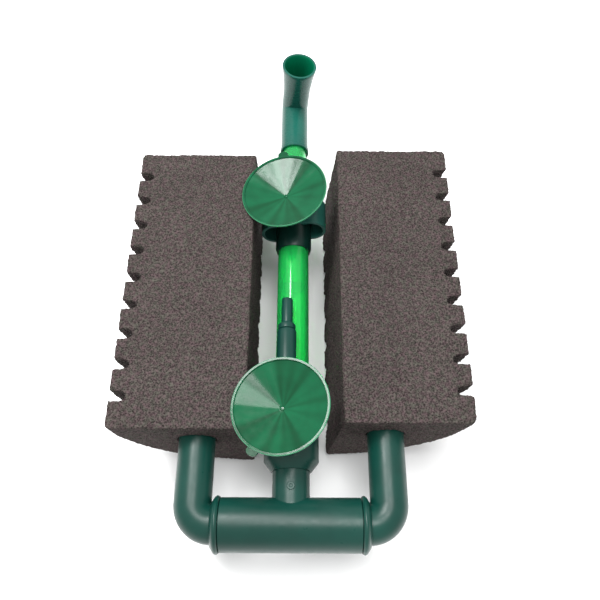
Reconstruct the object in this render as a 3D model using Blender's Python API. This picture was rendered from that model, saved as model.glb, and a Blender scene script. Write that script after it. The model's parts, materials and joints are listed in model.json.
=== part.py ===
"""Twin-sponge air-driven aquarium filter, lying on its two sponges with the suction cups up.

Metres, +Z up, +Y along the riser towards the outlet, +X to the right. Sizes below are in millimetres.
The rest frame's origin is where the manifold's axis (X) meets the riser's axis (Y).
"""
import math

import bmesh
import bpy
from mathutils import Matrix, Vector

MM = 0.001
FIT = 0.08  # radial clearance where one piece turns or slides on another
GAP = 0.3  # space between pieces that do not move on each other

# Rest pose, degrees about the riser: the cups lean left, the outlet leans right.
RISER_ROLL = -10.8
OUTLET_ROLL = 5.0
LOWER_TAB = 239.0
UPPER_TAB = 92.0

# Overall
FRONT_TO_RISER = 118.0  # rest frame's origin to the middle of the outline, along Y
LEG_X = 43.0
PIPE_R = 8.35
PIPE_BORE = 6.75

# Manifold
MANIFOLD_R = 11.4
MANIFOLD_BORE = 10.1
MANIFOLD_HALF = 30.4
CAP_END = 34.3
BRANCH_TOP = 33.0
BOSS_Y = 15.1

# Sponges; the left one sits further down its arm and straighter than the right one
SPONGE_R = 60.0
SPONGE_NEAR = {"left": 36.6, "right": 39.6}
SPONGE_LENGTH = 150.0
SPONGE_TOP = 19.3
SPONGE_INNER = {"left": 19.8, "right": 22.9}
SPONGE_LEAN = {"left": 0.8, "right": 6.0}
SPONGE_OUTER = 81.2
SPONGE_BORE_R = PIPE_R + GAP
SPONGE_BORE_END = 182.0
GROOVES = 9
GROOVE_WIDTH = 4.0
GROOVE_DEPTH = 7.0
REST_HEIGHT = SPONGE_R - SPONGE_TOP

# Riser group
CHAMBER_R = 12.45
CHAMBER_BOTTOM = 22.5
CHAMBER_TOP = 61.0
RISER_R = 8.0
RISER_BORE = 6.8
RISER_TOP = 149.7
AIR_Z = 13.5
AIR_PIPE_R = 4.55

# Bracket, telescope and outlet
COLLAR_R = 9.35
COLLAR_BOTTOM = 136.5
HOOD_BOTTOM = 149.3
HOOD_TOP = 166.0
HOOD_HALF_WIDTH = 17.4
HOOD_HALF_THICK = 8.2
HOOD_WALL = 1.6
HOOD_CEILING = 163.5
INNER_R = 6.6
INNER_BORE = 5.5
INNER_BOTTOM = 115.5
INNER_TOP = 212.0
OUTLET_START = 203.2
OUTLET_Y = 238.5
OUTLET_HEIGHT = 32.0

# Suction cups
CUP_R = 21.9
CUP_RIM_Z = 25.9
CUP_DEPTH = 6.0
CUP_SEAT_Z = 14.2
STEM_R = 2.5
LOWER_CUP_Y = 45.7
UPPER_CUP_Y = 158.8

TO_X = Matrix.Rotation(math.radians(90), 4, "Y")
TO_MINUS_X = Matrix.Rotation(math.radians(-90), 4, "Y")
TO_Y = Matrix.Rotation(math.radians(-90), 4, "X")
TO_Z = Matrix.Identity(4)

for old in list(bpy.data.objects):
    bpy.data.objects.remove(old)


def material(name, colour, roughness, transmission=0.0):
    made = bpy.data.materials.new(name)
    made.use_nodes = True
    shader = made.node_tree.nodes["Principled BSDF"]
    shader.inputs["Base Color"].default_value = (*colour, 1.0)
    shader.inputs["Roughness"].default_value = roughness
    shader.inputs["Transmission Weight"].default_value = transmission
    return made


def dark_plastic(name):
    return material(name, (0.012, 0.075, 0.058), 0.35)


def clear_plastic(name):
    return material(name, (0.0, 0.42, 0.09), 0.15, 0.6)


def cup_rubber(name):
    return material(name, (0.01, 0.24, 0.13), 0.3, 0.3)


def foam(name):
    return material(name, (0.13, 0.105, 0.1), 0.95)


def ring(radius, height, turn, segments):
    return [turn @ Vector((
        radius * math.cos(2 * math.pi * i / segments),
        radius * math.sin(2 * math.pi * i / segments),
        height)) for i in range(segments)]


def raw_object(name, points, faces):
    """A mesh object in metres, from points in millimetres, with its faces turned out."""
    mesh = bpy.data.meshes.new(name)
    mesh.from_pydata([p * MM for p in points], [], faces)
    work = bmesh.new()
    work.from_mesh(mesh)
    bmesh.ops.recalc_face_normals(work, faces=work.faces)
    work.to_mesh(mesh)
    work.free()
    made = bpy.data.objects.new(name, mesh)
    bpy.context.scene.collection.objects.link(made)
    return made


def skin(rings, closed):
    """Points and side faces between matching rings; a closed skin also joins the last ring to the first."""
    count = len(rings[0])
    points = [p for one in rings for p in one]
    faces = []
    pairs = list(zip(range(len(rings) - 1), range(1, len(rings))))
    if closed:
        pairs.append((len(rings) - 1, 0))
    for a, b in pairs:
        for i in range(count):
            j = (i + 1) % count
            faces.append((a * count + i, a * count + j, b * count + j, b * count + i))
    return points, faces


def turned(name, profile, turn=TO_Y, segments=32, centre=(0, 0, 0)):
    """A body of revolution. profile is (radius, height); a profile that touches the axis ends in fans."""
    shift = Vector(centre)
    on_axis = profile[0][0] == 0
    open_profile = profile[1:-1] if on_axis else profile
    rings = [[p + shift for p in ring(r, h, turn, segments)] for r, h in open_profile]
    points, faces = skin(rings, not on_axis)
    if on_axis:
        for (_, height), first in ((profile[0], 0), (profile[-1], (len(rings) - 1) * segments)):
            tip = len(points)
            points.append(turn @ Vector((0, 0, height)) + shift)
            for i in range(segments):
                faces.append((first + i, first + (i + 1) % segments, tip))
    return raw_object(name, points, faces)


def rod(name, radius, low, high, turn=TO_Y, segments=32, centre=(0, 0, 0)):
    return turned(name, [(0, low), (radius, low), (radius, high), (0, high)], turn, segments, centre)


def block(name, low, high):
    across, along, up = zip(low, high)
    corners = [Vector((x, y, z)) for z in up for y in along for x in across]
    faces = [(0, 1, 3, 2), (4, 6, 7, 5), (0, 4, 5, 1), (2, 3, 7, 6), (0, 2, 6, 4), (1, 5, 7, 3)]
    return raw_object(name, corners, faces)


def path_rings(path, radii, side, segments):
    """Rings along a path, each on the plane that halves the bend at its point. side is square to the path."""
    rings = []
    steps = [(b - a).normalized() for a, b in zip(path, path[1:])]
    for i, (centre, radius) in enumerate(zip(path, radii)):
        before = steps[max(i - 1, 0)]
        after = steps[min(i, len(steps) - 1)]
        plane = (before + after).normalized()
        across = before.cross(side)
        one = []
        for k in range(segments):
            angle = 2 * math.pi * k / segments
            offset = radius * (math.cos(angle) * side + math.sin(angle) * across)
            offset -= before * (offset.dot(plane) / before.dot(plane))
            one.append(centre + offset)
        rings.append(one)
    return rings


def bent_tube(name, path, outer, inner, side, segments=32):
    """A tube of changing radius along a path, with square ends."""
    path = [Vector(p) for p in path]
    rings = path_rings(path, outer, side, segments)
    rings += reversed(path_rings(path, inner, side, segments))
    points, faces = skin(rings, True)
    return raw_object(name, points, faces)


def prism(name, outline, low, high):
    """An outline in X and Z, drawn out along Y."""
    rings = [[Vector((x, y, z)) for x, z in outline] for y in (low, high)]
    points, faces = skin(rings, False)
    count = len(outline)
    faces.append(tuple(range(count)))
    faces.append(tuple(range(count, 2 * count)))
    return raw_object(name, points, faces)


def weld(mesh):
    """Drop the slivers that a cut leaves."""
    work = bmesh.new()
    work.from_mesh(mesh)
    bmesh.ops.remove_doubles(work, verts=work.verts, dist=0.000002)
    bmesh.ops.dissolve_degenerate(work, edges=work.edges, dist=0.000002)
    work.to_mesh(mesh)
    work.free()


def combine(base, others, operation):
    """Add or cut the other bodies, then drop them."""
    for other in others:
        step = base.modifiers.new(operation, "BOOLEAN")
        step.operation = operation
        step.solver = "EXACT"
        step.object = other
        bpy.context.view_layer.update()
        result = base.evaluated_get(bpy.context.evaluated_depsgraph_get())
        mesh = bpy.data.meshes.new_from_object(result)
        base.modifiers.clear()
        base.data = mesh
        bpy.data.objects.remove(other)
        weld(mesh)
    return base


def finish(made, name, look, parent, location=(0, 0, 0), turn=0.0, crease=32.0):
    """Name the piece, give it its material, round its shading and put it in its frame."""
    made.name = name
    made.data.name = name
    made.data.materials.clear()
    made.data.materials.append(look)
    weld(made.data)
    work = bmesh.new()
    work.from_mesh(made.data)
    for face in work.faces:
        face.smooth = True
        face.material_index = 0
    for edge in work.edges:
        edge.smooth = edge.calc_face_angle(math.pi) < math.radians(crease)
    work.to_mesh(made.data)
    work.free()
    made.location = Vector(location) * MM
    made.rotation_euler = (0, 0, math.radians(turn))
    made.parent = parent
    return made


def empty(name, location=(0, 0, 0), roll=0.0, parent=None):
    made = bpy.data.objects.new(name, None)
    bpy.context.scene.collection.objects.link(made)
    made.location = Vector(location) * MM
    made.rotation_euler = (0, math.radians(roll), 0)
    made.parent = parent
    return made


def manifold_tee(parent):
    tube = rod("tube", MANIFOLD_R, -MANIFOLD_HALF, MANIFOLD_HALF, TO_X)
    branch = rod("branch", PIPE_R, 0, BRANCH_TOP)
    boss = rod("boss", 1.8, PIPE_R - 0.6, PIPE_R + 0.45, TO_Z, 16, (0, BOSS_Y, 0))
    combine(tube, [branch, boss], "UNION")
    long_bore = rod("long_bore", MANIFOLD_BORE, -MANIFOLD_HALF - 1, MANIFOLD_HALF + 1, TO_X)
    branch_bore = rod("branch_bore", PIPE_BORE, 0, BRANCH_TOP + 1)
    dimple = rod("dimple", 0.6, PIPE_R + 0.15, PIPE_R + 1, TO_Z, 12, (0, BOSS_Y, 0))
    combine(tube, [long_bore, branch_bore, dimple], "DIFFERENCE")
    finish(tube, "manifold_tee", dark_plastic("tee_plastic"), parent)


def manifold_cap(name, turn, parent):
    """End cap: plug inside the manifold, raised bead, then a cone down to the elbow it carries."""
    bore = PIPE_R + FIT
    profile = [
        (bore, 22.0),
        (MANIFOLD_BORE - GAP, 22.0),
        (MANIFOLD_BORE - GAP, MANIFOLD_HALF + GAP),
        (11.7, MANIFOLD_HALF + GAP),
        (12.1, MANIFOLD_HALF + 0.8),
        (12.1, MANIFOLD_HALF + 2.0),
        (11.6, MANIFOLD_HALF + 2.6),
        (11.0, MANIFOLD_HALF + 2.9),
        (9.6, CAP_END),
        (bore, CAP_END),
    ]
    made = turned(name, profile, turn)
    finish(made, name, dark_plastic(name + "_plastic"), parent)


def elbow(name, side, parent):
    """Pipe from inside the cap, round a tight bend, and up into the sponge."""
    bend = 8.8
    corner = LEG_X - bend
    path = [(side * 25.0, 0, 0)]
    for i in range(7):
        angle = math.radians(90 * i / 6)
        path.append((side * (corner + bend * math.sin(angle)), bend * (1 - math.cos(angle)), 0))
    path.append((side * LEG_X, 57.3, 0))
    count = len(path)
    made = bent_tube(name, path, [PIPE_R] * count, [PIPE_BORE] * count, Vector((0, 0, 1)), 24)
    finish(made, name, dark_plastic(name + "_plastic"), parent, crease=40)


def strainer(name, side, parent):
    """Slotted tube inside the sponge, its lower end turning in the elbow."""
    profile = [
        (5.3, 49.0),
        (PIPE_BORE - 0.06, 49.0),
        (PIPE_BORE - 0.06, 57.6),
        (7.6, 57.6),
        (7.6, 178.0),
        (6.4, 178.0),
        (6.4, 60.0),
        (5.3, 58.6),
    ]
    made = turned(name, profile, TO_Y, 24)
    rows = [70.0 + 19.0 * i for i in range(6)]
    for low, high in (((-9, -2.2), (9, 2.2)), ((-2.2, -9), (2.2, 9))):
        slots = [block("slot", (low[0], y - 2, low[1]), (high[0], y + 2, high[1])) for y in rows]
        combine(made, slots, "DIFFERENCE")
    finish(made, name, dark_plastic(name + "_plastic"), parent, (side * LEG_X, 0, 0))


def strainer_cap(name, side, parent):
    profile = [(0, 172.0), (6.1, 172.0), (6.1, 178.3), (7.6, 178.3), (7.6, 180.0), (7.0, 180.6), (0, 180.6)]
    made = turned(name, profile, TO_Y, 24)
    finish(made, name, dark_plastic(name + "_plastic"), parent, (side * LEG_X, 0, 0))


def sponge_outline(label, side, depth):
    """Quarter round: flat top, flat inner face that leans in below, and the curve that joins them."""
    inner = SPONGE_INNER[label] - LEG_X
    outline = [(side * inner, SPONGE_TOP)]
    for i in range(12):
        angle = math.radians(90 * i / 11)
        across = (SPONGE_OUTER - SPONGE_INNER[label] - depth) * math.cos(angle)
        down = (SPONGE_R - depth) * math.sin(angle)
        lean = SPONGE_LEAN[label] * down / SPONGE_R
        outline.append((side * (inner + across - lean), SPONGE_TOP - down))
    return outline


def sponge_sections():
    """(y, depth below the curve) from the near end to the far end; each groove has a rounded floor."""
    pitch = SPONGE_LENGTH / (GROOVES + 1)
    sections = [(0.0, 0.0)]
    for i in range(1, GROOVES + 1):
        low = i * pitch - GROOVE_WIDTH / 2
        high = i * pitch + GROOVE_WIDTH / 2
        walls = ((low - 0.3, 0), (low, 0.76), (low + 1, 1), (high - 1, 1), (high, 0.76), (high + 0.3, 0))
        for y, share in walls:
            sections.append((y, GROOVE_DEPTH * share))
    sections.append((SPONGE_LENGTH, 0.0))
    return sections


def sponge(label, side, parent):
    """Quarter-round foam, grooved across its curve, with a blind bore for the strainer."""
    name = label + "_sponge"
    near = SPONGE_NEAR[label]
    rings = []
    for y, depth in sponge_sections():
        outline = sponge_outline(label, side, depth)
        rings.append([Vector((x, near + y, z)) for x, z in outline])
    points, faces = skin(rings, False)
    count = len(rings[0])
    faces.append(tuple(range(count)))
    faces.append(tuple(range(len(points) - count, len(points))))
    made = raw_object(name, points, faces)
    bore = rod("bore", SPONGE_BORE_R, near - 1, SPONGE_BORE_END, TO_Y, 24)
    combine(made, [bore], "DIFFERENCE")
    finish(made, name, foam(name + "_foam"), parent, (side * LEG_X, 0, 0))


def air_chamber(parent):
    """Socket over the branch, widening to the chamber that feeds air round the riser's foot."""
    profile = [
        (0, CHAMBER_BOTTOM),
        (9.2, CHAMBER_BOTTOM),
        (CHAMBER_R, 26.7),
        (CHAMBER_R, CHAMBER_TOP - 0.8),
        (CHAMBER_R - 0.8, CHAMBER_TOP),
        (0, CHAMBER_TOP),
    ]
    made = turned("air_chamber", profile, TO_Y)
    port = rod("port", 5.6, 52.5, 66.0, TO_Y, 24, (0, 0, AIR_Z))
    web = block("web", (-5.0, 53.2, 11.2), (5.0, 60.1, AIR_Z - 0.9))
    seat = rod("seat", 4.5, 11.6, CUP_SEAT_Z, TO_Z, 24, (0, LOWER_CUP_Y, 0))
    combine(made, [port, web, seat], "UNION")
    neck = rod("neck", PIPE_R + FIT, CHAMBER_BOTTOM - 1, 35.0, TO_Y)
    inside = rod("inside", 10.9, 34.0, 58.0, TO_Y)
    top = rod("top", RISER_R + GAP, 57.0, 67.0, TO_Y)
    socket = rod("socket", AIR_PIPE_R + GAP, 59.3, 66.7, TO_Y, 22, (0.01, 0, AIR_Z))
    duct = rod("duct", 1.2, 57.0, 60.0, TO_Y, 12, (0.05, 0, 9.63))
    hole = rod("hole", STEM_R + FIT, 12.3, CUP_SEAT_Z + 1, TO_Z, 24, (0, LOWER_CUP_Y, 0))
    combine(made, [neck, inside, top, socket, duct, hole], "DIFFERENCE")
    finish(made, "air_chamber", dark_plastic("chamber_plastic"), parent)


def air_diffuser(parent):
    """Sleeve round the riser's foot that breaks the air up before it enters the riser."""
    inner = RISER_R + GAP
    profile = [(inner, 38.5), (10.5, 38.5), (10.5, 40.5), (9.6, 40.5), (9.6, 56.5), (inner, 56.5)]
    made = turned("air_diffuser", profile, TO_Y)
    finish(made, "air_diffuser", dark_plastic("diffuser_plastic"), parent)


def riser_tube(parent):
    profile = [(RISER_BORE, 37.5), (RISER_R, 37.5), (RISER_R, RISER_TOP), (RISER_BORE, RISER_TOP)]
    made = turned("riser_tube", profile, TO_Y)
    finish(made, "riser_tube", clear_plastic("riser_clear"), parent)


def air_inlet_pipe(parent):
    profile = [(3.2, 59.6), (AIR_PIPE_R, 59.6), (AIR_PIPE_R, 85.2), (4.2, 85.8), (3.2, 85.8)]
    made = turned("air_inlet_pipe", profile, TO_Y, 24, (0, 0, AIR_Z))
    finish(made, "air_inlet_pipe", dark_plastic("inlet_plastic"), parent)


def airline_nipple(parent):
    profile = [
        (1.5, 78.0),
        (2.9, 78.0),
        (2.9, 86.1),
        (3.8, 86.1),
        (4.1, 86.5),
        (4.1, 88.4),
        (3.6, 89.2),
        (2.75, 89.2),
        (2.75, 101.9),
        (2.3, 102.5),
        (1.5, 102.5),
    ]
    made = turned("airline_nipple", profile, TO_Y, 24, (0, 0, AIR_Z))
    finish(made, "airline_nipple", dark_plastic("nipple_plastic"), parent)


def stadium(half_width, half_thick, steps=10):
    """Outline with round ends, in X and Z."""
    outline = []
    for side, start in ((1, -90), (-1, 90)):
        for i in range(steps + 1):
            angle = math.radians(start + 180 * i / steps)
            centre = side * (half_width - half_thick)
            outline.append((centre + half_thick * math.cos(angle), half_thick * math.sin(angle)))
    return outline


def bracket_collar(parent):
    """Collar on the riser's top inside an oval hood that is open towards the base; the upper cup's seat."""
    profile = [
        (0, COLLAR_BOTTOM),
        (8.6, COLLAR_BOTTOM),
        (COLLAR_R, COLLAR_BOTTOM + 2.5),
        (COLLAR_R, HOOD_TOP),
        (0, HOOD_TOP),
    ]
    made = turned("bracket_collar", profile, TO_Y)
    hood = prism("hood", stadium(HOOD_HALF_WIDTH, HOOD_HALF_THICK), HOOD_BOTTOM, HOOD_TOP)
    inside = stadium(HOOD_HALF_WIDTH - HOOD_WALL, HOOD_HALF_THICK - HOOD_WALL)
    hollow = prism("hollow", inside, HOOD_BOTTOM - 1, HOOD_CEILING)
    combine(hood, [hollow], "DIFFERENCE")
    seat = rod("seat", 4.5, 7.0, CUP_SEAT_Z, TO_Z, 24, (0, UPPER_CUP_Y, 0))
    combine(made, [hood, seat], "UNION")
    low_bore = rod("low_bore", RISER_R + FIT, COLLAR_BOTTOM - 1, 150.0, TO_Y)
    seal_bore = rod("seal_bore", RISER_R + GAP, 149.9, 157.0, TO_Y)
    top_bore = rod("top_bore", INNER_R + GAP, 156.0, HOOD_TOP + 1, TO_Y)
    hole = rod("hole", STEM_R + FIT, 12.3, CUP_SEAT_Z + 1, TO_Z, 24, (0, UPPER_CUP_Y, 0))
    combine(made, [low_bore, seal_bore, top_bore, hole], "DIFFERENCE")
    finish(made, "bracket_collar", dark_plastic("bracket_plastic"), parent)


def telescope_seal(parent):
    profile = [(INNER_R + 0.06, 150.2), (RISER_R, 150.2), (RISER_R, 156.7), (INNER_R + 0.06, 156.7)]
    made = turned("telescope_seal", profile, TO_Y)
    finish(made, "telescope_seal", material("seal_rubber", (0.02, 0.02, 0.02), 0.7), parent)


def inner_tube(parent):
    profile = [(radius, INNER_BOTTOM) for radius in (INNER_BORE, INNER_R)]
    profile += [(radius, INNER_TOP) for radius in (INNER_R, INNER_BORE)]
    made = turned("inner_tube", profile, TO_Y)
    finish(made, "inner_tube", clear_plastic("inner_clear"), parent)


def outlet_elbow(parent):
    """Mitred outlet: a lip, a socket on the inner tube, the bend, and a mouth that flares."""
    stations = [
        ((0, OUTLET_START, 0), 8.05, INNER_R + FIT),
        ((0, OUTLET_START + 2.2, 0), 8.05, INNER_R + FIT),
        ((0, OUTLET_START + 2.5, 0), 7.7, INNER_R + FIT),
        ((0, INNER_TOP + 0.3, 0), 7.7, INNER_R + FIT),
        ((0, INNER_TOP + 0.8, 0), 7.7, 6.2),
        ((0, OUTLET_Y - 1.6, 0), 7.7, 6.2),
        ((0, OUTLET_Y, 1.6), 7.7, 6.2),
        ((0, OUTLET_Y, 17.0), 7.9, 6.4),
        ((0, OUTLET_Y, 26.0), 8.8, 7.3),
        ((0, OUTLET_Y, 31.4), 9.5, 8.1),
        ((0, OUTLET_Y, OUTLET_HEIGHT), 9.6, 8.4),
    ]
    path, outer, inner = zip(*stations)
    made = bent_tube("outlet_elbow", path, outer, inner, Vector((1, 0, 0)))
    finish(made, "outlet_elbow", dark_plastic("outlet_plastic"), parent, crease=24)


def suction_cup(name, along, tab, parent):
    """Shallow cone with a flat lip and a pull tab, on a stem that turns in its seat."""
    floor = CUP_RIM_Z - CUP_DEPTH
    profile = [
        (0, floor + 0.6),
        (0.9, floor + 0.5),
        (1.2, floor),
        (CUP_R - 1.4, CUP_RIM_Z - 0.5),
        (CUP_R - 1.3, CUP_RIM_Z),
        (CUP_R, CUP_RIM_Z),
        (CUP_R, CUP_RIM_Z - 1.1),
        (CUP_R - 2.4, CUP_RIM_Z - 1.6),
        (3.6, floor - 1.4),
        (3.6, floor - 2.8),
        (STEM_R, floor - 3.4),
        (STEM_R, 12.6),
        (0, 12.6),
    ]
    made = turned(name, profile, TO_Z, 40)
    outline = []
    for i in range(9):
        angle = math.radians(-90 + 180 * i / 8)
        outline.append((CUP_R + 1.0 + 1.8 * math.cos(angle), 2.6 * math.sin(angle)))
    outline += [(CUP_R - 0.9, 2.6), (CUP_R - 0.9, -2.6)]
    rings = [[Vector((x, y, z)) for x, y in outline] for z in (CUP_RIM_Z - 1.0, CUP_RIM_Z - 0.1)]
    points, faces = skin(rings, False)
    faces.append(tuple(range(len(outline))))
    faces.append(tuple(range(len(outline), 2 * len(outline))))
    combine(made, [raw_object("tab", points, faces)], "UNION")
    finish(made, name, cup_rubber(name + "_rubber"), parent, (0, along, 0), tab)


rest = empty("rest_frame", (0, -FRONT_TO_RISER, REST_HEIGHT))
riser_frame = empty("riser_frame", roll=RISER_ROLL, parent=rest)
bracket_frame = empty("bracket_frame", roll=RISER_ROLL, parent=rest)
outlet_frame = empty("outlet_frame", roll=OUTLET_ROLL, parent=rest)

manifold_tee(rest)
manifold_cap("manifold_cap_right", TO_X, rest)
manifold_cap("manifold_cap_left", TO_MINUS_X, rest)
for label, sign in (("left", -1), ("right", 1)):
    elbow(label + "_elbow", sign, rest)
    strainer(label + "_strainer", sign, rest)
    strainer_cap(label + "_strainer_cap", sign, rest)
    sponge(label, sign, rest)
air_chamber(riser_frame)
air_diffuser(riser_frame)
riser_tube(riser_frame)
air_inlet_pipe(riser_frame)
airline_nipple(riser_frame)
suction_cup("lower_suction_cup", LOWER_CUP_Y, LOWER_TAB, riser_frame)
bracket_collar(bracket_frame)
telescope_seal(bracket_frame)
suction_cup("upper_suction_cup", UPPER_CUP_Y, UPPER_TAB, bracket_frame)
inner_tube(outlet_frame)
outlet_elbow(outlet_frame)
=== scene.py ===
"""Looks of the twin-sponge aquarium filter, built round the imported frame.

Lengths are in millimetres about the rest origin, where the manifold's axis meets the riser's, and
place() turns them into the frame's metres. The pieces are remade finer than their CAD solids, except
the strainers, their caps, the diffuser and the seal, which keep the CAD mesh.
"""
import json
import math

import bmesh
import bpy
import numpy as np
from mathutils import Matrix, Vector, noise


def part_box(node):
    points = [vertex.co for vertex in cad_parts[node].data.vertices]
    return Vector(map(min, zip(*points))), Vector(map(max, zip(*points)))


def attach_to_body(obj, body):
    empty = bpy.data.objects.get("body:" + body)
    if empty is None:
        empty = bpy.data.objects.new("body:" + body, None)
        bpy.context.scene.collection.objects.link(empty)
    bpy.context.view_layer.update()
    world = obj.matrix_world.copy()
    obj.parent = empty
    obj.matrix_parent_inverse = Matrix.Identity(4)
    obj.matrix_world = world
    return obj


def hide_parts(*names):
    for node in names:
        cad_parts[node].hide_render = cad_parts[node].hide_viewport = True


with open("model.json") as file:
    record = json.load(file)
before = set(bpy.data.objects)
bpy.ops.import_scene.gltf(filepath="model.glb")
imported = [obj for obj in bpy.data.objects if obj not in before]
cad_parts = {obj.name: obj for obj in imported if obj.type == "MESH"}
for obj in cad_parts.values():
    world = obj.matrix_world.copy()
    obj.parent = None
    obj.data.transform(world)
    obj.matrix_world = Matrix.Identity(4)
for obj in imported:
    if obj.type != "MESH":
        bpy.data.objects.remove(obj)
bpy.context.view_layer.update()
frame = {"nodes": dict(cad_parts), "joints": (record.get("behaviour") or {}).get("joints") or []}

MM = 0.001
JOINTS = {joint["name"]: joint for joint in frame["joints"]}
ORIGIN = Vector(JOINTS["left_arm_swing"]["pos_m"])
CUP_AXIS = JOINTS["lower_cup_turn"]["axis"]
RISER_ROLL = math.atan2(CUP_AXIS[0], CUP_AXIS[2])
OUTLET_ROLL = math.radians(5.0)
LEG_X = JOINTS["right_core_turn"]["pos_m"][0] / MM
LOWER_CUP_Y = (JOINTS["lower_cup_turn"]["pos_m"][1] - ORIGIN.y) / MM
UPPER_CUP_Y = (JOINTS["upper_cup_turn"]["pos_m"][1] - ORIGIN.y) / MM
LOWER_TAB = math.radians(239.0)
UPPER_TAB = math.radians(92.0)

TO_X = Matrix.Rotation(math.radians(90), 4, "Y")
TO_MINUS_X = Matrix.Rotation(math.radians(-90), 4, "Y")
TO_Y = Matrix.Rotation(math.radians(-90), 4, "X")
TO_Z = Matrix.Identity(4)

FIT = 0.08  # radial clearance where one piece turns or slides on another
SEGMENTS = 96

# Pipes
PIPE_R = 8.35
PIPE_BORE = 6.75
ELBOW_START = 25.0
ELBOW_END = 57.3
ELBOW_BEND = 8.8
MANIFOLD_R = 11.4
MANIFOLD_BORE = 10.1
MANIFOLD_HALF = 30.4
CAP_INSIDE = 22.0
CAP_END = 34.3
BRANCH_START = 7.6
BRANCH_TOP = 33.0
BOSS_Y = 15.1

# Riser, air line, telescope and outlet
CHAMBER_R = 12.45
CHAMBER_BOTTOM = 22.5
CHAMBER_TOP = 61.0
RISER_R = 8.0
RISER_BORE = 6.8
RISER_BOTTOM = 37.5
RISER_TOP = 149.7
AIR_Z = 13.5
AIR_PIPE_R = 4.55
AIR_BORE = 3.2
NIPPLE_BORE = 1.5
COLLAR_R = 9.35
COLLAR_BOTTOM = 136.5
HOOD_BOTTOM = 149.3
HOOD_TOP = 166.0
HOOD_CEILING = 163.5
HOOD_HALF_WIDTH = 17.4
HOOD_HALF_THICK = 8.2
HOOD_WALL = 1.6
INNER_R = 6.6
INNER_BORE = 5.5
INNER_BOTTOM = 115.5
INNER_TOP = 212.0
OUTLET_START = 203.2
OUTLET_Y = 238.5
OUTLET_HEIGHT = 32.0
OUTLET_R = 7.7
OUTLET_BORE = 6.2

# Suction cups
CUP_R = 21.9
CUP_RIM_Z = 25.9
CUP_FLOOR_Z = 19.9
CUP_SEAT_Z = 14.2
STEM_R = 2.5
STEM_END_Z = 12.6
TAB_HALF_WIDTH = 2.6
RIPPLE = 0.035  # height of each wave that puts rays on the cone
RIPPLE_WAVES = (5, 9, 14, 23)
# painted reflection: waves of the radial streaks painted into the cups' colour
PAINTED_STREAK_WAVES = (2, 5, 9, 16)

# Foam
SPONGE_R = 59.7
SPONGE_TOP = 19.1
SPONGE_OUTER = 81.0
SPONGE_INNER = {"left": 20.0, "right": 23.1}
SPONGE_LEAN = {"left": 0.8, "right": 6.0}
GROOVES = 9
GROOVE_WIDTH = 4.2
GROOVE_DEPTH = 7.2
CORNER_R = 2.6
BORE_R = 8.5
BORE_END = 182.0
VOXEL = 0.85
SEED = Vector((3.1, 7.7, 1.3))


# ---------------------------------------------------------------- node helpers

def new_material(name):
    made = bpy.data.materials.new(name)
    made.use_nodes = True
    tree = made.node_tree
    return made, tree, tree.nodes["Principled BSDF"]


def coordinates(tree):
    return tree.nodes.new("ShaderNodeTexCoord").outputs["Object"]


def noise_value(tree, source, scale, detail=3.0, roughness=0.5):
    node = tree.nodes.new("ShaderNodeTexNoise")
    node.inputs["Scale"].default_value = scale
    node.inputs["Detail"].default_value = detail
    node.inputs["Roughness"].default_value = roughness
    tree.links.new(source, node.inputs["Vector"])
    return node.outputs["Fac"]


def ramp(tree, value, stops):
    node = tree.nodes.new("ShaderNodeValToRGB")
    elements = node.color_ramp.elements
    while len(elements) < len(stops):
        elements.new(0.5)
    for element, (position, colour) in zip(elements, stops):
        element.position = position
        element.color = (*colour, 1.0)
    tree.links.new(value, node.inputs["Fac"])
    return node.outputs["Color"]


def spread(tree, value, low, high):
    node = tree.nodes.new("ShaderNodeMapRange")
    node.inputs["From Min"].default_value = 0.3
    node.inputs["From Max"].default_value = 0.7
    node.inputs["To Min"].default_value = low
    node.inputs["To Max"].default_value = high
    tree.links.new(value, node.inputs["Value"])
    return node.outputs["Result"]


def bump(tree, shader, height, strength, distance):
    node = tree.nodes.new("ShaderNodeBump")
    node.inputs["Strength"].default_value = strength
    node.inputs["Distance"].default_value = distance
    tree.links.new(height, node.inputs["Height"])
    tree.links.new(node.outputs["Normal"], shader.inputs["Normal"])


def multiply(tree, first, second):
    """Product of two colours."""
    mix = tree.nodes.new("ShaderNodeMix")
    mix.data_type = "RGBA"
    mix.blend_type = "MULTIPLY"
    mix.inputs["Factor"].default_value = 1.0
    tree.links.new(first, mix.inputs["A"])
    tree.links.new(second, mix.inputs["B"])
    return mix.outputs["Result"]


def shade(colour, factor):
    return tuple(min(1.0, c * factor) for c in colour)


# ---------------------------------------------------------------- materials

def satin_plastic(name="satin_plastic", colour=(0.003, 0.036, 0.027), rough=(0.27, 0.4)):
    """Moulded dark green plastic with colour drift, fine orange peel and marks in the gloss."""
    made, tree, shader = new_material(name)
    where = coordinates(tree)
    drift = noise_value(tree, where, 45.0)
    tree.links.new(ramp(tree, drift, [(0.3, shade(colour, 0.82)), (0.7, shade(colour, 1.2))]),
                   shader.inputs["Base Color"])
    marks = noise_value(tree, where, 320.0, 5.0, 0.65)
    tree.links.new(spread(tree, marks, *rough), shader.inputs["Roughness"])
    bump(tree, shader, noise_value(tree, where, 1500.0, 2.0), 0.08, 0.0001)
    shader.inputs["Specular IOR Level"].default_value = 0.27
    return made


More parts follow.
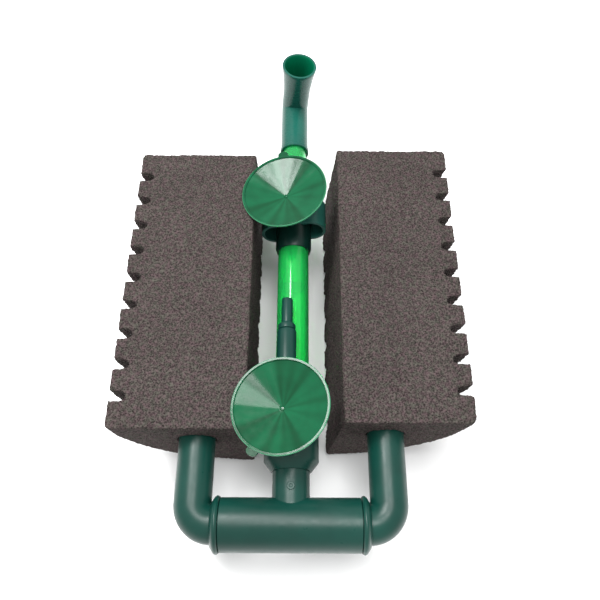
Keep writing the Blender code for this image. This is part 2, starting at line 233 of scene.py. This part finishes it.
def clear_tube(name, colour):
    """Extruded tube: see-through green with faint lengthwise draw lines."""
    made, tree, shader = new_material(name)
    where = coordinates(tree)
    stretch = tree.nodes.new("ShaderNodeMapping")
    stretch.inputs["Scale"].default_value = (1.0, 0.04, 1.0)
    tree.links.new(where, stretch.inputs["Vector"])
    lines = noise_value(tree, stretch.outputs["Vector"], 700.0, 3.0)
    tree.links.new(ramp(tree, lines, [(0.3, shade(colour, 0.88)), (0.7, shade(colour, 1.1))]),
                   shader.inputs["Base Color"])
    tree.links.new(spread(tree, lines, 0.07, 0.16), shader.inputs["Roughness"])
    bump(tree, shader, lines, 0.05, 0.0001)
    shader.inputs["Transmission Weight"].default_value = 0.82
    shader.inputs["IOR"].default_value = 1.4
    return made


def cup_rubber():
    """Soft translucent rubber with a wet gloss, with painted reflection streaks in its colour where the
    mesh has the per-point streak attribute; a piece without it, such as the tab, takes the darkest
    streak.
    """
    made, tree, shader = new_material("cup_rubber")
    where = coordinates(tree)
    colour = (0.003, 0.085, 0.034)
    drift = noise_value(tree, where, 90.0, 4.0)
    rubber_colour = ramp(tree, drift, [(0.3, shade(colour, 0.85)), (0.7, shade(colour, 1.2))])
    # Painted reflection: radial streaks, read from each point's streak value, darken the rubber's
    # colour between lighter rays
    painted_reflection_rays = tree.nodes.new("ShaderNodeAttribute")
    painted_reflection_rays.attribute_name = "painted_reflection_rays"
    painted_streak = [(0.0, (0.5, 0.6, 0.55)), (0.55, (0.85, 0.87, 0.86)), (1.0, (1.0, 1.0, 1.0))]
    painted_streaks = ramp(tree, painted_reflection_rays.outputs["Fac"], painted_streak)
    tree.links.new(multiply(tree, rubber_colour, painted_streaks), shader.inputs["Base Color"])
    marks = noise_value(tree, where, 400.0, 4.0)
    tree.links.new(spread(tree, marks, 0.12, 0.2), shader.inputs["Roughness"])
    bump(tree, shader, noise_value(tree, where, 900.0, 2.0), 0.06, 0.0001)
    shader.inputs["Transmission Weight"].default_value = 0.15
    shader.inputs["Specular IOR Level"].default_value = 0.17
    return made


def cup_lip():
    """The thin lip, where light gathers inside the rubber and the green pales."""
    made, tree, shader = new_material("cup_lip")
    where = coordinates(tree)
    drift = noise_value(tree, where, 160.0, 3.0)
    tree.links.new(ramp(tree, drift, [(0.3, (0.03, 0.22, 0.1)), (0.7, (0.06, 0.32, 0.16))]),
                   shader.inputs["Base Color"])
    marks = noise_value(tree, where, 500.0, 3.0)
    tree.links.new(spread(tree, marks, 0.36, 0.5), shader.inputs["Roughness"])
    shader.inputs["Transmission Weight"].default_value = 0.2
    return made


def foam_material():
    """Open-cell foam: pale strands round cells darkened with painted shade, with faint warm and cool
    specks.
    """
    made, tree, shader = new_material("open_cell_foam")
    where = coordinates(tree)
    cells = tree.nodes.new("ShaderNodeTexVoronoi")
    cells.inputs["Scale"].default_value = 1250.0
    cells.inputs["Randomness"].default_value = 1.0
    tree.links.new(where, cells.inputs["Vector"])
    grain = noise_value(tree, where, 1000.0, 3.0, 0.7)
    # Painted shade: the cell centres, the open pores, darken to stand in for the shade inside them; the
    # strands keep the foam's own colour
    strand_and_pore_shade = [(0.05, (0.016, 0.0135, 0.0127)), (0.7, (0.098, 0.082, 0.078))]
    colour = ramp(tree, cells.outputs["Distance"], strand_and_pore_shade)
    speck = [(0.38, (0.42, 0.41, 0.41)), (0.5, (0.85, 0.84, 0.83)), (0.64, (1.0, 1.0, 0.98))]
    specks = ramp(tree, grain, speck)
    tints = noise_value(tree, where, 420.0, 2.0)
    tint = ramp(tree, tints, [(0.35, (1.0, 0.84, 0.93)), (0.65, (0.86, 0.98, 0.88))])
    drift = noise_value(tree, where, 28.0, 3.0)
    broad = ramp(tree, drift, [(0.3, (0.86, 0.86, 0.86)), (0.7, (1.0, 1.0, 1.0))])
    for factor in (specks, tint, broad):
        colour = multiply(tree, colour, factor)
    tree.links.new(colour, shader.inputs["Base Color"])
    tree.links.new(spread(tree, grain, 0.88, 1.0), shader.inputs["Roughness"])
    bump(tree, shader, cells.outputs["Distance"], 0.7, 0.0007)
    shader.inputs["Specular IOR Level"].default_value = 0.12
    return made


def studio_floor():
    """Plain white table under the filter."""
    made, tree, shader = new_material("studio_floor")
    where = coordinates(tree)
    drift = noise_value(tree, where, 6.0)
    tree.links.new(ramp(tree, drift, [(0.3, (0.93, 0.93, 0.93)), (0.7, (0.95, 0.95, 0.95))]),
                   shader.inputs["Base Color"])
    shader.inputs["Roughness"].default_value = 0.6
    return made


# ---------------------------------------------------------------- mesh helpers

def place(roll=0.0, along=0.0, spin=0.0):
    """Millimetres in a leaning, spun frame some way along the riser to the row frame's metres."""
    lean = Matrix.Rotation(roll, 4, "Y")
    slide = Matrix.Translation((0, along, 0))
    turn = Matrix.Rotation(spin, 4, "Z")
    return Matrix.Translation(ORIGIN) @ Matrix.Scale(MM, 4) @ lean @ slide @ turn


def ring(radius, height, turn, segments=SEGMENTS):
    steps = [2 * math.pi * i / segments for i in range(segments)]
    return [turn @ Vector((radius * math.cos(a), radius * math.sin(a), height)) for a in steps]


def skin(rings, closed):
    """Points and side faces between matching rings; closed also joins the last ring to the first."""
    count = len(rings[0])
    faces = []
    pairs = [(a, a + 1) for a in range(len(rings) - 1)]
    if closed:
        pairs.append((len(rings) - 1, 0))
    for a, b in pairs:
        for i in range(count):
            j = (i + 1) % count
            faces.append((a * count + i, a * count + j, b * count + j, b * count + i))
    return [p for one in rings for p in one], faces


def capped(rings):
    """The skin between rings with both of its ends closed."""
    points, faces = skin(rings, False)
    count = len(rings[0])
    faces += [tuple(range(count)), tuple(range(len(points) - count, len(points)))]
    return points, faces


def add_object(name, data):
    made = bpy.data.objects.new(name, data)
    bpy.context.scene.collection.objects.link(made)
    return made


def make_piece(name, points, faces, matrix, look, crease=30.0):
    """A closed, smooth-shaded piece in the row frame's coordinates, with its sharp edges kept."""
    mesh = bpy.data.meshes.new(name)
    mesh.from_pydata([matrix @ p for p in points], [], faces)
    work = bmesh.new()
    work.from_mesh(mesh)
    bmesh.ops.recalc_face_normals(work, faces=work.faces)
    for face in work.faces:
        face.smooth = True
    for edge in work.edges:
        edge.smooth = edge.calc_face_angle(math.pi) < math.radians(crease)
    work.to_mesh(mesh)
    work.free()
    mesh.materials.append(look)
    return add_object(name, mesh)


def turned(name, profile, matrix, look, turn=TO_Y, offset=(0, 0, 0)):
    """A body of revolution; a profile that starts on the axis is closed with fans."""
    shift = Vector(offset)
    on_axis = profile[0][0] == 0
    middle = profile[1:-1] if on_axis else profile
    rings = [[p + shift for p in ring(r, h, turn)] for r, h in middle]
    points, faces = skin(rings, not on_axis)
    if on_axis:
        for (_, height), first in ((profile[0], 0), (profile[-1], (len(rings) - 1) * SEGMENTS)):
            tip = len(points)
            points.append(turn @ Vector((0, 0, height)) + shift)
            for i in range(SEGMENTS):
                faces.append((first + i, first + (i + 1) % SEGMENTS, tip))
    return make_piece(name, points, faces, matrix, look)


def path_rings(path, radii, side):
    """Rings along a path, each on the plane that halves the bend at its point."""
    rings = []
    steps = [(b - a).normalized() for a, b in zip(path, path[1:])]
    for i, (centre, radius) in enumerate(zip(path, radii)):
        before = steps[max(i - 1, 0)]
        after = steps[min(i, len(steps) - 1)]
        plane = (before + after).normalized()
        across = before.cross(side)
        one = []
        for k in range(SEGMENTS):
            angle = 2 * math.pi * k / SEGMENTS
            offset = radius * (math.cos(angle) * side + math.sin(angle) * across)
            offset -= before * (offset.dot(plane) / before.dot(plane))
            one.append(centre + offset)
        rings.append(one)
    return rings


def bent_tube(name, stations, side, matrix, look, crease=30.0):
    """stations are (centre, outer radius, inner radius) along the pipe."""
    centres, outer, inner = zip(*stations)
    path = [Vector(c) for c in centres]
    rings = path_rings(path, outer, side) + list(reversed(path_rings(path, inner, side)))
    points, faces = skin(rings, True)
    return make_piece(name, points, faces, matrix, look, crease)


def keep(piece, node, body):
    """The piece stands for its CAD node and rides with that node's body."""
    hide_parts(node)
    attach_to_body(piece, body)


def attach(piece, body):
    """A further piece of a CAD node that another piece stands for."""
    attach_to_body(piece, body)


# ---------------------------------------------------------------- pipes

def elbow(side, look):
    """Pipe out of the manifold's end cap, round a tight bend, and up into the sponge."""
    label = "left" if side < 0 else "right"
    corner = LEG_X - ELBOW_BEND
    steps = 20
    centres = [(side * ELBOW_START, 0, 0)]
    for i in range(steps + 1):
        angle = math.radians(90 * i / steps)
        across = corner + ELBOW_BEND * math.sin(angle)
        centres.append((side * across, ELBOW_BEND * (1 - math.cos(angle)), 0))
    centres.append((side * LEG_X, ELBOW_END, 0))
    stations = [(c, PIPE_R, PIPE_BORE) for c in centres]
    made = bent_tube(label + "_elbow_pipe", stations, Vector((0, 0, 1)), place(), look)
    keep(made, label + "_elbow", label + "_arm")


def outlet(look, inside_look):
    """Mitred outlet with its lip, crease and flared mouth; light through the wall greens the inside."""
    socket = INNER_R + FIT
    flare_start = 13.0
    flare_bore = OUTLET_BORE + 0.1
    flare_end = OUTLET_HEIGHT - 0.5
    stations = [
        ((0, OUTLET_START, 0), 7.8, socket),
        ((0, OUTLET_START + 0.3, 0), 8.05, socket),
        ((0, OUTLET_START + 2.2, 0), 8.05, socket),
        ((0, OUTLET_START + 2.7, 0), OUTLET_R, socket),
        ((0, INNER_TOP + 0.3, 0), OUTLET_R, socket),
        ((0, INNER_TOP + 0.8, 0), OUTLET_R, OUTLET_BORE),
        ((0, OUTLET_Y - 1.9, 0), OUTLET_R, OUTLET_BORE),
        ((0, OUTLET_Y - 0.6, 0.6), OUTLET_R, OUTLET_BORE),
        ((0, OUTLET_Y, 1.9), OUTLET_R, OUTLET_BORE),
        ((0, OUTLET_Y, flare_start), OUTLET_R, flare_bore),
    ]
    steps = 12
    for i in range(1, steps + 1):
        share = i / steps
        swell = 1.8 * share ** 1.6
        height = flare_start + (flare_end - flare_start) * share
        stations.append(((0, OUTLET_Y, height), OUTLET_R + swell, flare_bore + swell))
    stations.append(((0, OUTLET_Y, OUTLET_HEIGHT), OUTLET_R + 1.7, flare_bore + 2.0))
    side = Vector((1, 0, 0))
    made = bent_tube("outlet_elbow_pipe", stations, side, place(OUTLET_ROLL), look, 22.0)
    made.data.materials.append(inside_look)
    for face in made.data.polygons:
        if face.index // SEGMENTS >= len(stations):
            face.material_index = 1
    keep(made, "outlet_elbow", "outlet")


def manifold_cap(side, look):
    """End cap with a raised bead, carrying the elbow."""
    label = "left" if side < 0 else "right"
    bore = PIPE_R + FIT
    plug = MANIFOLD_BORE - 0.3
    seam = MANIFOLD_HALF + 0.3
    bead = [(11.55 + 0.6 * math.sin(math.pi * i / 8), seam + 2.2 * i / 8) for i in range(9)]
    profile = [(bore, CAP_INSIDE), (plug, CAP_INSIDE), (plug, seam)]
    profile += bead
    profile += [(11.1, CAP_END - 1.1), (9.6, CAP_END - 0.1), (bore, CAP_END)]
    turn = TO_MINUS_X if side < 0 else TO_X
    made = turned("manifold_" + label + "_end", profile, place(), look, turn)
    keep(made, "manifold_cap_" + label, "manifold")


def manifold(look):
    """Cross pipe with its branch and the moulded boss on the branch."""
    low_end = [
        (MANIFOLD_BORE, -MANIFOLD_HALF),
        (MANIFOLD_R - 0.2, -MANIFOLD_HALF),
        (MANIFOLD_R, 0.2 - MANIFOLD_HALF),
    ]
    pipe = low_end + [(radius, -height) for radius, height in reversed(low_end)]
    keep(turned("manifold_pipe", pipe, place(), look, TO_X), "manifold_tee", "manifold")
    branch = [
        (PIPE_BORE, BRANCH_START),
        (PIPE_R, BRANCH_START),
        (PIPE_R, BRANCH_TOP),
        (PIPE_BORE, BRANCH_TOP),
    ]
    attach(turned("manifold_branch", branch, place(), look), "manifold")
    boss = [(0, 7.7), (1.8, 7.7), (1.8, 8.6), (1.6, 8.8), (0.8, 8.8), (0.6, 8.55), (0, 8.5)]
    made = turned("manifold_boss", boss, place(), look, TO_Z, (0, BOSS_Y, 0))
    attach(made, "manifold")


def cup_seat(name, body, along, low, look):
    """Round seat with the hole that a cup's stem turns in."""
    hole = STEM_R + FIT
    outer = 4.5
    seat = [
        (hole, low),
        (outer, low),
        (outer, CUP_SEAT_Z - 0.2),
        (outer - 0.2, CUP_SEAT_Z),
        (hole, CUP_SEAT_Z),
    ]
    made = turned(name, seat, place(RISER_ROLL), look, TO_Z, (0, along, 0))
    attach(made, body)


def chamber(look):
    """Air chamber: neck over the branch, shoulder, body, air port and the lower cup's seat."""
    neck = PIPE_R + FIT
    top = RISER_R + 0.3
    inside = 10.9
    body = [
        (neck, CHAMBER_BOTTOM),
        (9.2, CHAMBER_BOTTOM),
        (CHAMBER_R - 0.25, 26.3),
        (CHAMBER_R, 26.9),
        (CHAMBER_R, CHAMBER_TOP - 0.8),
        (CHAMBER_R - 0.25, CHAMBER_TOP - 0.25),
        (CHAMBER_R - 0.8, CHAMBER_TOP),
        (top, CHAMBER_TOP),
        (top, 58.0),
        (inside, 58.0),
        (inside, 35.0),
        (neck, 35.0),
    ]
    keep(turned("chamber_body", body, place(RISER_ROLL), look), "air_chamber", "riser")
    socket = AIR_PIPE_R + 0.3
    port = [(0, 52.5), (5.6, 52.5), (5.6, 65.8), (5.4, 66.0), (socket, 66.0), (socket, 59.3), (0, 59.3)]
    made = turned("chamber_port", port, place(RISER_ROLL), look, offset=(0, 0, AIR_Z))
    attach(made, "riser")
    cup_seat("chamber_seat", "riser", LOWER_CUP_Y, 11.6, look)


def stadium(half_width, half_thick, height):
    """Outline with round ends in X and Z; almost equal halves give a circle with as many points."""
    steps = 24
    outline = []
    for side, start in ((1, -90), (-1, 90)):
        for i in range(steps + 1):
            angle = math.radians(start + 180 * i / steps)
            x = side * (half_width - half_thick) + half_thick * math.cos(angle)
            outline.append(Vector((x, height, half_thick * math.sin(angle))))
    return outline


def hood_ring(inset, height):
    return stadium(HOOD_HALF_WIDTH - inset, HOOD_HALF_THICK - inset, height)


def bracket(look, painted_light_hood_look):
    """Collar, the oval hood round it, and the upper cup's seat; the hood takes a lighter copy of the
    plastic as painted light, the collar and seat a darker copy as painted shade.
    """
    low_bore = RISER_R + FIT
    seal_bore = RISER_R + 0.3
    top_bore = INNER_R + 0.3
    collar = [
        (low_bore, COLLAR_BOTTOM),
        (8.6, COLLAR_BOTTOM),
        (COLLAR_R, COLLAR_BOTTOM + 2.5),
        (COLLAR_R, HOOD_TOP),
        (top_bore, HOOD_TOP),
        (top_bore, 157.0),
        (seal_bore, 157.0),
        (seal_bore, 149.9),
        (low_bore, 149.9),
    ]
    keep(turned("bracket_sleeve", collar, place(RISER_ROLL), look), "bracket_collar", "bracket")
    rings = [
        hood_ring(0.15, HOOD_BOTTOM),
        hood_ring(0.0, HOOD_BOTTOM + 0.2),
        hood_ring(0.0, HOOD_TOP - 0.6),
        hood_ring(0.6, HOOD_TOP),
        stadium(7.0, 6.99, HOOD_TOP),
        stadium(7.0, 6.99, HOOD_CEILING),
        hood_ring(HOOD_WALL, HOOD_CEILING),
        hood_ring(HOOD_WALL, HOOD_BOTTOM + 0.1),
        hood_ring(HOOD_WALL - 0.15, HOOD_BOTTOM),
    ]
    points, faces = skin(rings, True)
    made = make_piece("bracket_hood", points, faces, place(RISER_ROLL), painted_light_hood_look)
    attach(made, "bracket")
    cup_seat("bracket_seat", "bracket", UPPER_CUP_Y, 7.0, look)


def air_line(look):
    """Air inlet pipe and the stepped nipple in its end."""
    low = 59.6
    high = 85.8
    pipe = [(AIR_BORE, low), (AIR_PIPE_R, low), (AIR_PIPE_R, high - 0.9)]
    pipe += [(4.3, high - 0.2), (4.1, high), (AIR_BORE, high)]
    made = turned("air_pipe", pipe, place(RISER_ROLL), look, offset=(0, 0, AIR_Z))
    keep(made, "air_inlet_pipe", "riser")
    plug = [(NIPPLE_BORE, 78.0), (2.9, 78.0), (2.9, 86.1)]
    flange = [(3.8, 86.1), (4.1, 86.4), (4.1, 88.3), (3.9, 88.8), (3.0, 89.3)]
    tip = [(2.75, 89.7), (2.7, 101.8), (2.5, 102.3), (2.3, 102.5), (NIPPLE_BORE, 102.5)]
    nipple = plug + flange + tip
    made = turned("air_nipple", nipple, place(RISER_ROLL), look, offset=(0, 0, AIR_Z))
    keep(made, "airline_nipple", "riser")


def tubes():
    """Clear riser and the clear inner tube that slides in it."""
    outer = [
        (RISER_BORE, RISER_BOTTOM),
        (RISER_R, RISER_BOTTOM),
        (RISER_R, RISER_TOP - 0.3),
        (RISER_R - 0.2, RISER_TOP),
        (RISER_BORE + 0.2, RISER_TOP),
        (RISER_BORE, RISER_TOP - 0.3),
    ]
    look = clear_tube("riser_clear", (0.045, 0.88, 0.23))
    made = turned("riser_clear_tube", outer, place(RISER_ROLL), look)
    keep(made, "riser_tube", "riser")
    inner = [
        (INNER_BORE, INNER_BOTTOM + 0.2),
        (INNER_BORE + 0.2, INNER_BOTTOM),
        (INNER_R - 0.2, INNER_BOTTOM),
        (INNER_R, INNER_BOTTOM + 0.2),
        (INNER_R, INNER_TOP),
        (INNER_BORE, INNER_TOP),
    ]
    look = clear_tube("inner_clear", (0.06, 0.88, 0.26))
    made = turned("inner_clear_tube", inner, place(OUTLET_ROLL), look)
    keep(made, "inner_tube", "telescope")


# ---------------------------------------------------------------- suction cups

def cup_profile():
    """(radius, height): apex nub, cone, raised lip, the back of the cone, and the stem."""
    floor = CUP_FLOOR_Z
    rim = CUP_RIM_Z
    nub = [(0, floor + 0.65), (0.6, floor + 0.6), (0.95, floor + 0.35), (1.25, floor + 0.1)]
    cone = [(1.9, floor + 0.2), (CUP_R - 1.45, rim - 0.65)]
    lip = [(CUP_R - 1.3, rim - 0.2), (CUP_R - 1.05, rim), (CUP_R - 0.25, rim)]
    lip += [(CUP_R, rim - 0.25), (CUP_R, rim - 0.95), (CUP_R - 0.2, rim - 1.2)]
    back = [(CUP_R - 2.4, rim - 1.6), (3.8, floor - 1.3), (3.6, floor - 2.6), (3.3, floor - 3.0)]
    stem = [(STEM_R, floor - 3.4), (STEM_R, STEM_END_Z), (0, STEM_END_Z)]
    return nub + cone + lip + back + stem


def wave_sum(waves, angle):
    return sum(math.sin(count * angle + count) for count in waves)


def cup_tab(name, matrix, look):
    """Pull tab with a round end, let into the lip."""
    outline = []
    steps = 24
    for i in range(steps + 1):
        angle = math.radians(-90 + 180 * i / steps)
        outline.append((CUP_R + 1.0 + 1.8 * math.cos(angle), TAB_HALF_WIDTH * math.sin(angle)))
    outline += [(CUP_R - 0.7, TAB_HALF_WIDTH), (CUP_R - 0.7, -TAB_HALF_WIDTH)]
    heights = (CUP_RIM_Z - 1.0, CUP_RIM_Z - 0.15)
    points, faces = capped([[Vector((x, y, z)) for x, y in outline] for z in heights])
    return make_piece(name + "_tab", points, faces, matrix, look)


def suction_cup(name, along, tab, body, look, lip_look):
    """Shallow cone with faint rays from its rippled surface and painted reflection streaks, on its
    stem, with a paler lip and a pull tab.
    """
    matrix = place(RISER_ROLL, along, tab)
    back = matrix.inverted()
    made = turned(name + "_body", cup_profile(), matrix, look, TO_Z)
    made.data.materials.append(lip_look)
    for vertex in made.data.vertices:
        at = back @ vertex.co
        if 18.0 < math.hypot(at.x, at.y) < 20.5 and at.z > 25.0:
            at.z += RIPPLE * wave_sum(RIPPLE_WAVES, math.atan2(at.y, at.x))
            vertex.co = matrix @ at
    # Painted reflection: each point gets a streak value by its angle round the cup, for the rubber's
    # colour
    painted_reflection_rays = made.data.attributes.new("painted_reflection_rays", "FLOAT", "POINT")
    for vertex in made.data.vertices:
        at = back @ vertex.co
        painted_streak = 0.6 + 0.25 * wave_sum(PAINTED_STREAK_WAVES, math.atan2(at.y, at.x) + tab)
        painted_reflection_rays.data[vertex.index].value = min(1.0, max(0.0, painted_streak))
    for face in made.data.polygons:
        at = back @ face.center
        if math.hypot(at.x, at.y) > 21.5 and at.z > 25.2:
            face.material_index = 1
    attach(cup_tab(name, matrix, look), body)
    keep(made, name, body)


# ---------------------------------------------------------------- foam

def foam_sections(length):
    """(distance from the near end, groove depth, corner inset) along the sponge."""
    pitch = length / (GROOVES + 1)
    stops = set()
    for i in range(1, GROOVES + 1):
        for share in np.linspace(-0.5, 0.5, 9):
            stops.add(round(i * pitch + GROOVE_WIDTH * float(share), 4))
        stops.add(round(i * pitch - GROOVE_WIDTH / 2 - 0.25, 4))
        stops.add(round(i * pitch + GROOVE_WIDTH / 2 + 0.25, 4))
    for share in np.linspace(0, 1, 7):
        stops.add(round(CORNER_R * float(share), 4))
        stops.add(round(length - CORNER_R * float(share), 4))
    sections = []
    for y in sorted(stops):
        nearest = round(y / pitch)
        off = abs(y - nearest * pitch) if 1 <= nearest <= GROOVES else length
        half = GROOVE_WIDTH / 2
        depth = 0.0
        if off <= half + 0.001:
            depth = GROOVE_DEPTH - half + math.sqrt(max(half * half - off * off, 0))
        edge = max(0.0, min(y, length - y))
        inset = 0.0
        if edge < CORNER_R:
            inset = CORNER_R - math.sqrt(CORNER_R ** 2 - (CORNER_R - edge) ** 2)
        sections.append((y, depth, inset))
    return sections


def foam_outline(label, side, inset):
    """Quarter round whose flat inner face leans in towards the riser below."""
    inner = SPONGE_INNER[label]
    outline = [(side * inner, SPONGE_TOP)]
    steps = 40
    for i in range(steps + 1):
        angle = math.radians(90 * i / steps)
        across = (SPONGE_OUTER - inner - inset) * math.cos(angle)
        down = (SPONGE_R - inset) * math.sin(angle)
        lean = SPONGE_LEAN[label] * down / SPONGE_R
        outline.append((side * (inner + across - lean), SPONGE_TOP - down))
    return outline


def bore_cutter(side, low, high, look):
    """Rod that cuts the bore for the pipe out of the foam."""
    shift = Vector((side * LEG_X, 0, 0))
    rings = [[p + shift for p in ring(BORE_R, height, TO_Y, 48)] for height in (low, high)]
    points, faces = capped(rings)
    return make_piece("bore", points, faces, place(), look)


def apply_modifiers(piece):
    """Keep the mesh that the modifiers give."""
    bpy.context.view_layer.update()
    result = piece.evaluated_get(bpy.context.evaluated_depsgraph_get())
    mesh = bpy.data.meshes.new_from_object(result)
    piece.modifiers.clear()
    piece.data = mesh


def roughen(piece):
    """Torn open-cell surface: each point moves along its normal, fine over coarse."""
    mesh = piece.data
    points = [vertex.co.copy() for vertex in mesh.vertices]
    normals = [vertex.normal.copy() for vertex in mesh.vertices]
    moved = np.empty((len(points), 3), np.float32)
    for i, (point, normal) in enumerate(zip(points, normals)):
        at = point / MM
        fine = noise.noise(at * 0.95 + SEED)
        coarse = noise.noise(at * 0.09 + SEED)
        moved[i] = point + normal * ((0.42 * fine + 0.35 * coarse - 0.1) * MM)
    mesh.vertices.foreach_set("co", moved.ravel())
    mesh.update()


def sponge(side, look):
    """Grooved quarter-round foam with its bore, remeshed to even cells so that it can be roughened."""
    label = "left" if side < 0 else "right"
    low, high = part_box(label + "_sponge")
    near = (low.y - ORIGIN.y) / MM
    length = (high.y - low.y) / MM
    rings = []
    for y, depth, inset in foam_sections(length):
        outline = foam_outline(label, side, depth + inset)
        rings.append([Vector((x, near + y, z)) for x, z in outline])
    points, faces = capped(rings)
    made = make_piece(label + "_foam", points, faces, place(), look)
    cutter = bore_cutter(side, near - 2, BORE_END, look)
    cut = made.modifiers.new("bore", "BOOLEAN")
    cut.operation = "DIFFERENCE"
    cut.solver = "EXACT"
    cut.object = cutter
    remesh = made.modifiers.new("voxels", "REMESH")
    remesh.mode = "VOXEL"
    remesh.voxel_size = VOXEL * MM
    apply_modifiers(made)
    bpy.data.objects.remove(cutter)
    roughen(made)
    made.data.materials.clear()
    made.data.materials.append(look)
    for face in made.data.polygons:
        face.use_smooth = True
        face.material_index = 0
    keep(made, label + "_sponge", label + "_sponge")


# ---------------------------------------------------------------- studio

def studio():
    """White table, two lamps and an even white surround."""
    mesh = bpy.data.meshes.new("studio_floor")
    half = 2.0
    corners = [(-half, -half, 0), (half, -half, 0), (half, half, 0), (-half, half, 0)]
    mesh.from_pydata(corners, [], [(0, 1, 2, 3)])
    mesh.materials.append(studio_floor())
    add_object("studio_floor", mesh)
    for name, spot, size, power in (
        ("key", (-0.35, 0.35, 1.1), 0.4, 15.0),
        ("fill", (0.12, -0.02, 1.2), 0.45, 8.5),
    ):
        lamp = bpy.data.lights.new(name, "AREA")
        lamp.size = size
        lamp.energy = power
        made = add_object(name, lamp)
        made.location = spot
        made.rotation_euler = (-Vector(spot)).to_track_quat("-Z", "Y").to_euler()
    world = bpy.data.worlds.new("soft_studio")
    world.use_nodes = True
    world.node_tree.nodes["Background"].inputs["Color"].default_value = (1.0, 1.0, 1.0, 1.0)
    world.node_tree.nodes["Background"].inputs["Strength"].default_value = 1.0
    bpy.context.scene.world = world
    bpy.context.scene.view_settings.view_transform = "Standard"


def camera():
    """Steep view from the manifold's end."""
    lens = bpy.data.cameras.new("camera")
    lens.sensor_width = 36.0
    lens.lens = 38.16
    made = add_object("camera", lens)
    made.location = ORIGIN + Vector((4.2, -37.3, 288.6)) * MM
    pitch_down = 63.15
    made.rotation_euler = (math.radians(90 - pitch_down), 0, math.radians(0.24))
    bpy.context.scene.camera = made


plastic = satin_plastic()
outlet_plastic = satin_plastic("outlet_plastic", (0.006, 0.07, 0.052), (0.22, 0.34))
inside_plastic = satin_plastic("outlet_inside", (0.0, 0.14, 0.065), (0.3, 0.42))
# Painted light and shade: hood and collar are one bracket's plastic, the hood in a lighter copy as
# painted light, the collar and cup seat in a darker copy as painted shade
hood_plastic_painted_light = satin_plastic("hood_plastic_painted_light", (0.016, 0.1, 0.078), (0.36, 0.5))
collar_plastic_painted_shade = satin_plastic("collar_plastic_painted_shade", (0.002, 0.02, 0.015), (0.3, 0.42))
rubber = cup_rubber()
lip = cup_lip()
foam = foam_material()
for sign in (-1, 1):
    elbow(sign, plastic)
    manifold_cap(sign, plastic)
    sponge(sign, foam)
manifold(plastic)
chamber(plastic)
bracket(collar_plastic_painted_shade, hood_plastic_painted_light)
outlet(outlet_plastic, inside_plastic)
air_line(plastic)
tubes()
suction_cup("lower_suction_cup", LOWER_CUP_Y, LOWER_TAB, "lower_cup", rubber, lip)
suction_cup("upper_suction_cup", UPPER_CUP_Y, UPPER_TAB, "upper_cup", rubber, lip)
carried = ["air_diffuser", "telescope_seal"]
carried += [side + "_strainer" + end for side in ("left", "right") for end in ("", "_cap")]
for node in carried:
    frame["nodes"][node].data.materials.clear()
    frame["nodes"][node].data.materials.append(plastic)
studio()
camera()

bpy.context.view_layer.update()
